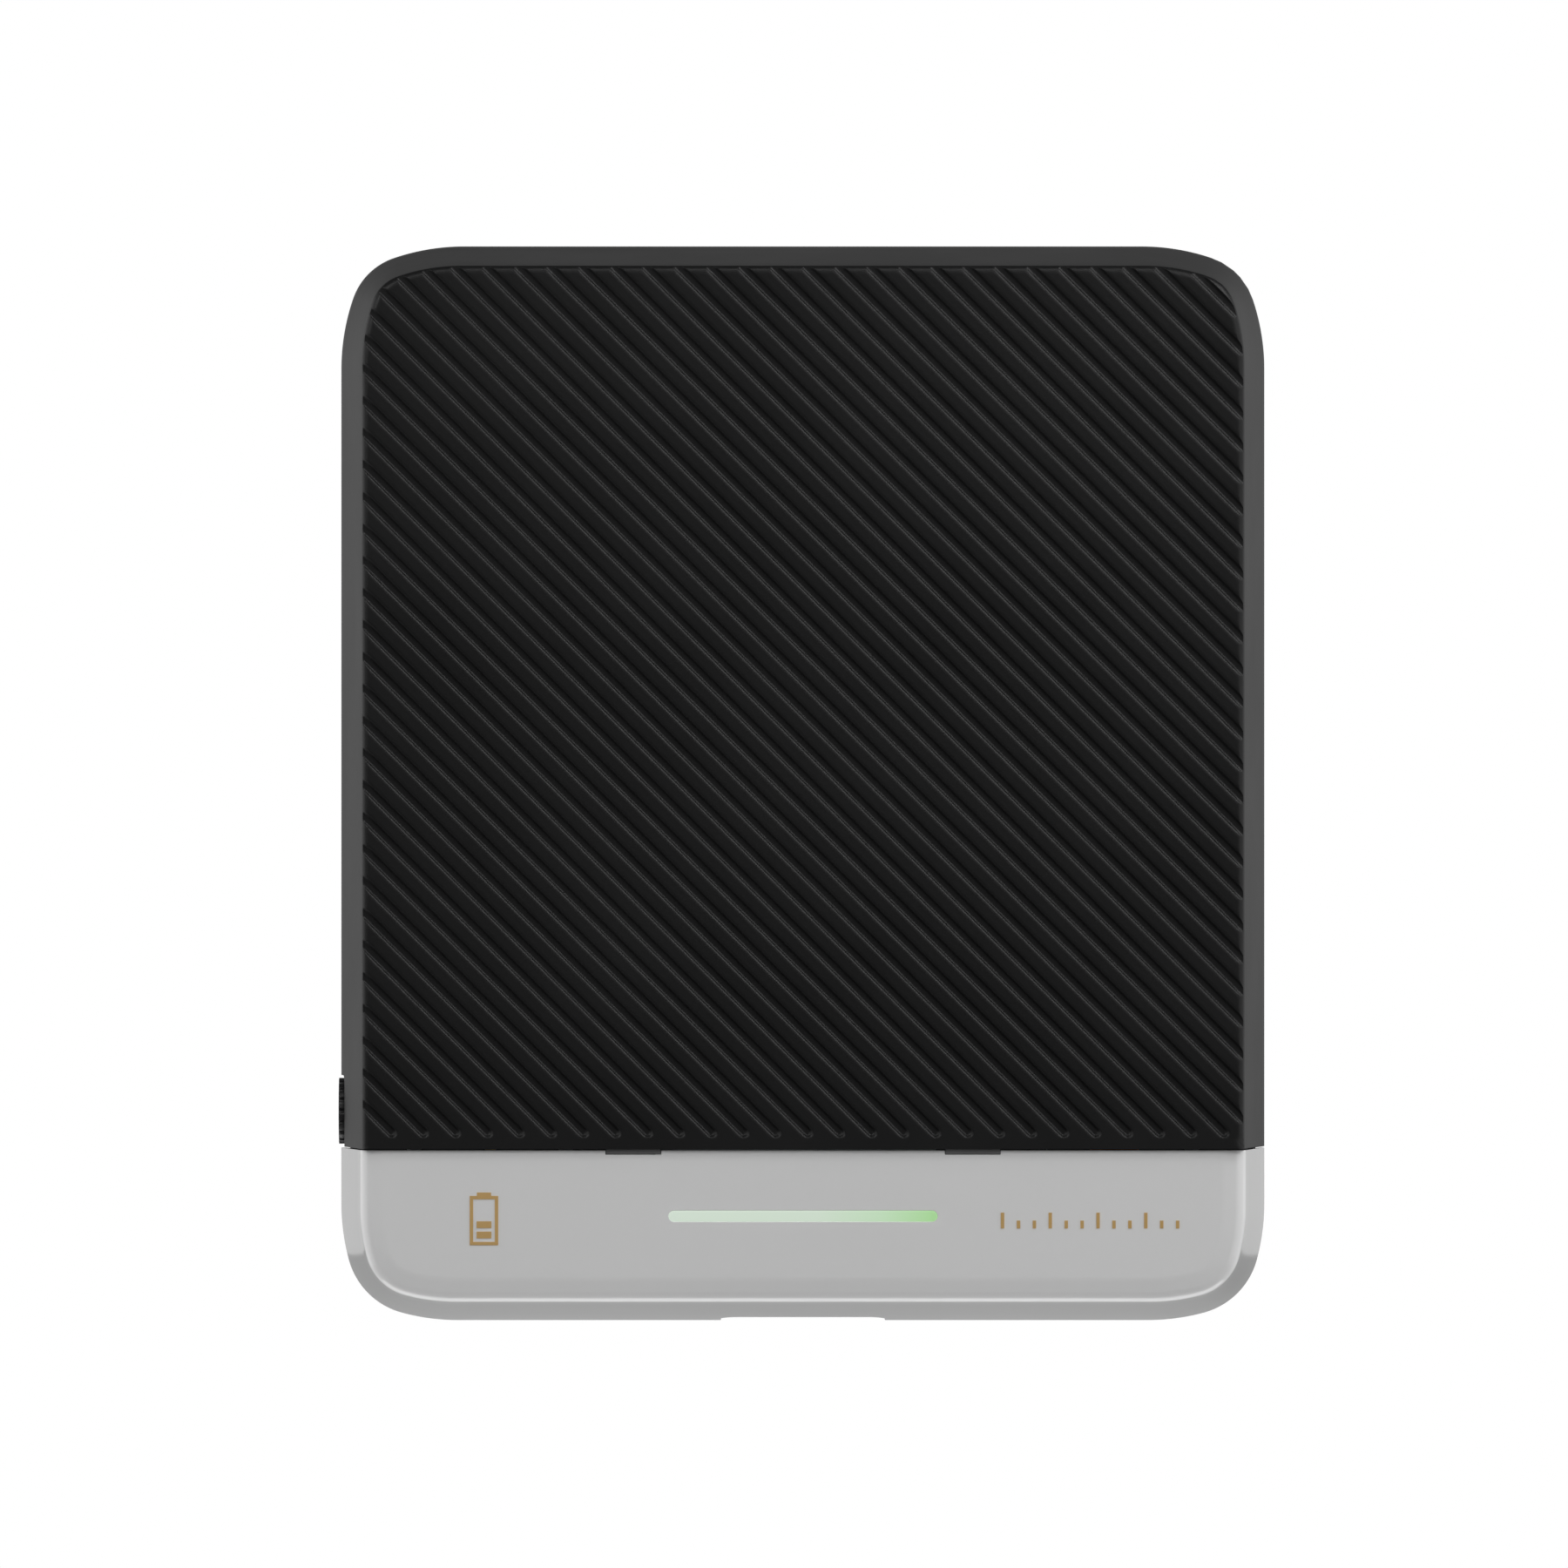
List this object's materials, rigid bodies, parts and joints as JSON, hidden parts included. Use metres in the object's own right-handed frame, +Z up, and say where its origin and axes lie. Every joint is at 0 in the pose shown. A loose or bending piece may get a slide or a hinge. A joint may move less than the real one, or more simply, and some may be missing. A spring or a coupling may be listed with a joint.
{
  "type": "wall battery unit",
  "caption": "Wall-hung storage battery: a shallow steel tray of cells under a grooved black lid, with a white lower cover that hides the wiring bay and carries a light bar.",
  "frame": {"origin": "centre of the wall bracket's bolt pattern, on the wall plane", "axes": "+Z up, +Y into the wall, +X to the right of someone facing the unit; the front faces -Y"},
  "size_m": [0.4913, 0.149, 0.57],
  "materials": {
    "black_cover": "fine-grained matte black moulding with slanting grooves",
    "white_cover": "glossy pale grey-white moulding",
    "light_lens": "milky light bar, pale green-white at the left and green at the right",
    "gold_print": "satin gold inlay",
    "tray_steel": "dark grey powder coat",
    "bracket_steel": "black powder coat, worn at the slots",
    "plated_steel": "zinc plated sheet",
    "fastener": "zinc plated",
    "spring_steel": "bright steel",
    "rubber": "matte black rubber",
    "seal_foam": "closed-cell foam",
    "grey_plastic": "mid-grey moulding",
    "black_plastic": "satin black moulding",
    "orange_plastic": "orange moulding",
    "copper": "tinned and bare copper",
    "brass": "turned brass",
    "aluminium": "mill finish",
    "cell_wrap": "aluminium can in blue film",
    "white_sheet": "insulating sheet",
    "thermal_pad": "soft silicone pad",
    "clear_sheet": "hazy polycarbonate",
    "fuse_body": "ceramic fuse body",
    "circuit_board": "green solder mask",
    "board_parts": "moulded component bodies",
    "led": "green-white LEDs",
    "port_shell": "shielded data socket"
  },
  "bodies": {
    "wall_bracket": {"wall_bracket": "bracket_steel"},
    "battery": {"hanger_rail": "bracket_steel", "rail_screws": "fastener", "rear_bumpers": "rubber", "chassis_tray": "tray_steel", "cable_grommet": "rubber", "front_cover": "black_cover", "cover_gasket": "seal_foam", "cover_screws": "fastener", "snap_tongues": "grey_plastic", "light_bracket": "plated_steel", "light_board": "circuit_board", "light_leds": "led", "service_panel": "tray_steel", "panel_screws": "fastener", "plus_socket": "orange_plastic", "minus_socket": "black_plastic", "plus_contact": "copper", "minus_contact": "copper", "button_housing": "fastener", "button_spring": "spring_steel", "ground_stud": "brass", "ground_nut": "brass", "vent_plug": "black_plastic", "isolator_bezel": "black_plastic", "isolator_switch": "grey_plastic", "cells_upper": "cell_wrap", "cells_lower": "cell_wrap", "cell_spacers": "white_sheet", "thermal_pad": "thermal_pad", "end_plates": "aluminium", "module_screws": "fastener", "tie_straps": "plated_steel", "cell_shelf": "plated_steel", "cell_terminals": "aluminium", "cell_links": "aluminium", "terminal_nuts": "fastener", "link_cap": "clear_sheet", "positive_bar": "copper", "negative_bar": "copper", "positive_lead": "copper", "negative_lead": "copper", "main_fuse": "fuse_body", "fuse_holder": "black_plastic", "heat_spreader": "aluminium", "control_board": "circuit_board", "board_standoffs": "brass", "board_screws": "fastener", "board_parts": "board_parts", "comm_port_1": "port_shell", "comm_port_2": "port_shell", "comm_port_3": "port_shell"},
    "lower_cover": {"lower_cover": "white_cover", "light_lens": "light_lens", "gold_pictogram": "gold_print", "gold_scale": "gold_print"},
    "isolator_knob": {"isolator_knob": "black_plastic", "isolator_shaft": "spring_steel"},
    "power_button": {"power_button": "black_plastic"}
  },
  "joints": [
    {"name": "battery_lift", "type": "slide", "parent": "wall_bracket", "child": "battery", "axis": [0, 0, 1], "range_m": [0, 0.013]},
    {"name": "cover_pull", "type": "slide", "parent": "battery", "child": "lower_cover", "axis": [0, -1, 0], "range_m": [0, 0.12]},
    {"name": "isolator_turn", "type": "hinge", "parent": "battery", "child": "isolator_knob", "pos_m": [-0.24, -0.042, -0.309], "axis": [-1, 0, 0], "range_deg": [0, 90]},
    {"name": "button_press", "type": "slide", "parent": "battery", "child": "power_button", "axis": [0, 0, 1], "range_m": [0, 0.002], "stiffness_N_per_m": 1500, "springref_m": -0.001, "deforming": ["button_spring"]}
  ]
}
